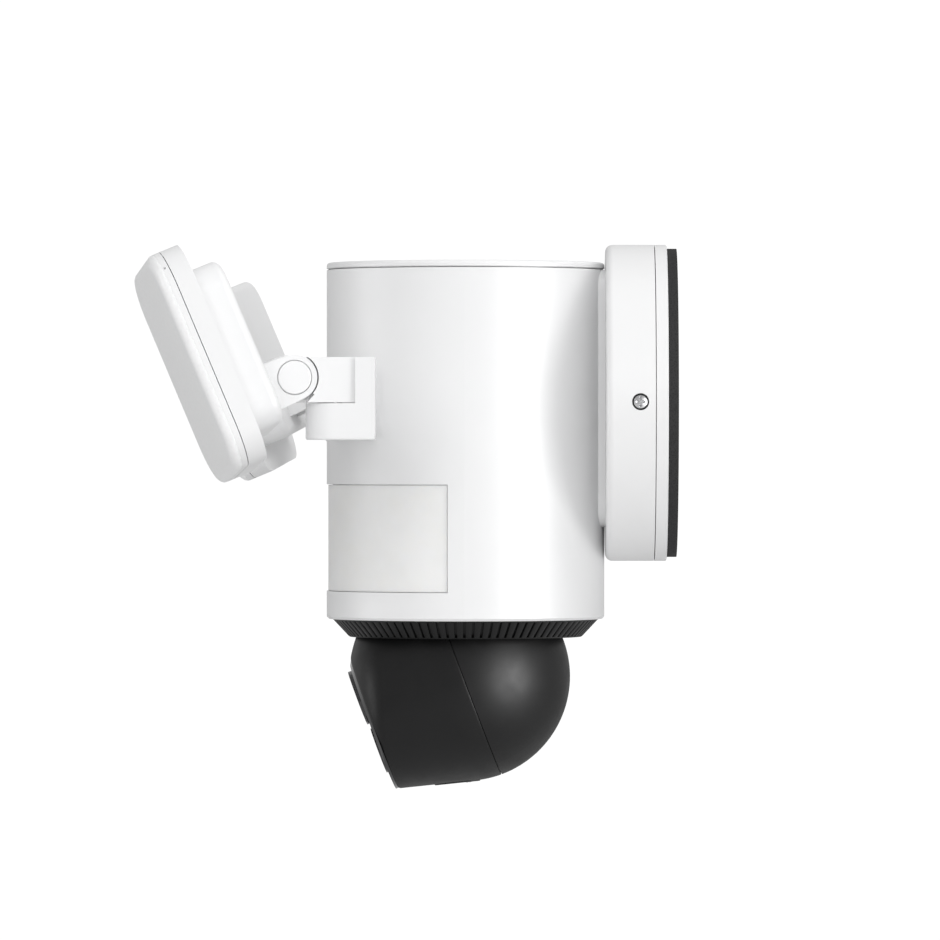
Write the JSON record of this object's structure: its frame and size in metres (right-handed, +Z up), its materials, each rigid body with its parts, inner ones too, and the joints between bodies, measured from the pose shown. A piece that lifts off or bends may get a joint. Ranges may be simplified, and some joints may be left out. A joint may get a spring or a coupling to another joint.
{
  "type": "floodlight security camera",
  "caption": "Wall-mounted security camera: round housing with a pan-and-tilt ball head below and square tilting lights on arms at both sides.",
  "frame": {"origin": "centre of the wall face of the gasket, on the canopy's axis", "axes": "+Z up, +Y into the wall, the cameras and lights face -Y, +X to the right for someone facing the object"},
  "size_m": [0.3606, 0.1998, 0.2065],
  "materials": {
    "white": "smooth satin moulded plastic",
    "canopy_white": "smooth satin moulded plastic",
    "window": "translucent warm white",
    "diffuser": "frosted translucent",
    "black": "satin black",
    "black_gloss": "smoked gloss",
    "rubber": "matt",
    "steel": "plain zinc plated",
    "lens_glass": "coated",
    "circuit": "solder mask",
    "gear": "natural acetal",
    "motor": "plated can",
    "aluminium": "cast"
  },
  "bodies": {
    "base": {"wall_gasket": "rubber", "mounting_plate": "steel", "canopy_back_ring": "canopy_white", "canopy_cover": "canopy_white", "canopy_side_screws": "steel", "terminal_block": "black", "rear_saddle": "white", "saddle_screws": "steel", "main_housing": "white", "top_cap": "white", "cap_seal": "rubber", "motion_sensor_window": "window", "motion_sensor_board": "circuit", "vent_ring": "black", "head_well": "black", "main_board": "circuit", "board_standoffs": "steel", "power_supply": "aluminium", "power_supply_bracket": "steel", "siren_speaker": "black", "pan_motor": "motor", "pan_bearing": "gear", "left_arm_bracket": "white", "right_arm_bracket": "white", "left_swivel_pin": "steel", "right_swivel_pin": "steel"},
    "pan_pinion": {"pan_pinion": "gear"},
    "pan": {"turntable_post": "black", "pan_ring_gear": "gear", "pan_retaining_ring": "steel", "tilt_axle": "steel", "tilt_motor": "motor"},
    "tilt_pinion": {"tilt_pinion": "gear"},
    "head": {"head_rear_shell": "black", "head_front_shell": "black", "card_cover": "black", "card_cover_screw": "steel", "face_plate": "black_gloss", "wide_lens_bezel": "black_gloss", "wide_lens_glass": "lens_glass", "wide_lens_barrel": "black", "tele_lens_bezel": "black_gloss", "tele_lens_glass": "lens_glass", "tele_lens_barrel": "black", "camera_board": "circuit", "head_chassis": "aluminium", "tilt_gear": "gear"},
    "left_arm": {"left_swivel_arm": "white"},
    "left_light": {"left_light_housing": "white", "left_hinge_pin": "white", "left_led_board": "aluminium", "left_light_bezel": "white", "left_light_diffuser": "diffuser"},
    "right_arm": {"right_swivel_arm": "white"},
    "right_light": {"right_light_housing": "white", "right_hinge_pin": "white", "right_led_board": "aluminium", "right_light_bezel": "white", "right_light_diffuser": "diffuser"}
  },
  "joints": [
    {"name": "head_pan", "type": "hinge", "parent": "base", "child": "pan", "pos_m": [0, -0.08, -0.06], "axis": [0, 0, 1], "range_deg": [-175, 175]},
    {"name": "head_tilt", "type": "hinge", "parent": "pan", "child": "head", "pos_m": [0, -0.08, -0.1038], "axis": [1, 0, 0], "range_deg": [0, 55]},
    {"name": "pan_pinion_spin", "type": "hinge", "parent": "base", "child": "pan_pinion", "pos_m": [0, -0.0464, -0.056], "axis": [0, 0, 1], "range_deg": [-1050, 1050]},
    {"name": "tilt_pinion_spin", "type": "hinge", "parent": "pan", "child": "tilt_pinion", "pos_m": [0.01, -0.08, -0.0858], "axis": [1, 0, 0], "range_deg": [-230, 10]},
    {"name": "left_light_swivel", "type": "hinge", "parent": "base", "child": "left_arm", "pos_m": [-0.1294, -0.127, 0], "axis": [0, 0, 1], "range_deg": [-60, 24]},
    {"name": "left_light_tilt", "type": "hinge", "parent": "left_arm", "child": "left_light", "pos_m": [-0.13204, -0.14197, 0.0082], "axis": [0.9848, -0.1736, 0], "range_deg": [-38, 27]},
    {"name": "right_light_swivel", "type": "hinge", "parent": "base", "child": "right_arm", "pos_m": [0.1294, -0.127, 0], "axis": [0, 0, 1], "range_deg": [-24, 60]},
    {"name": "right_light_tilt", "type": "hinge", "parent": "right_arm", "child": "right_light", "pos_m": [0.13204, -0.14197, 0.0082], "axis": [0.9848, 0.1736, 0], "range_deg": [-38, 27]}
  ],
  "couplings": [
    {"joint": "pan_pinion_spin", "follows": "head_pan", "ratio": -6},
    {"joint": "tilt_pinion_spin", "follows": "head_tilt", "ratio": -4}
  ]
}
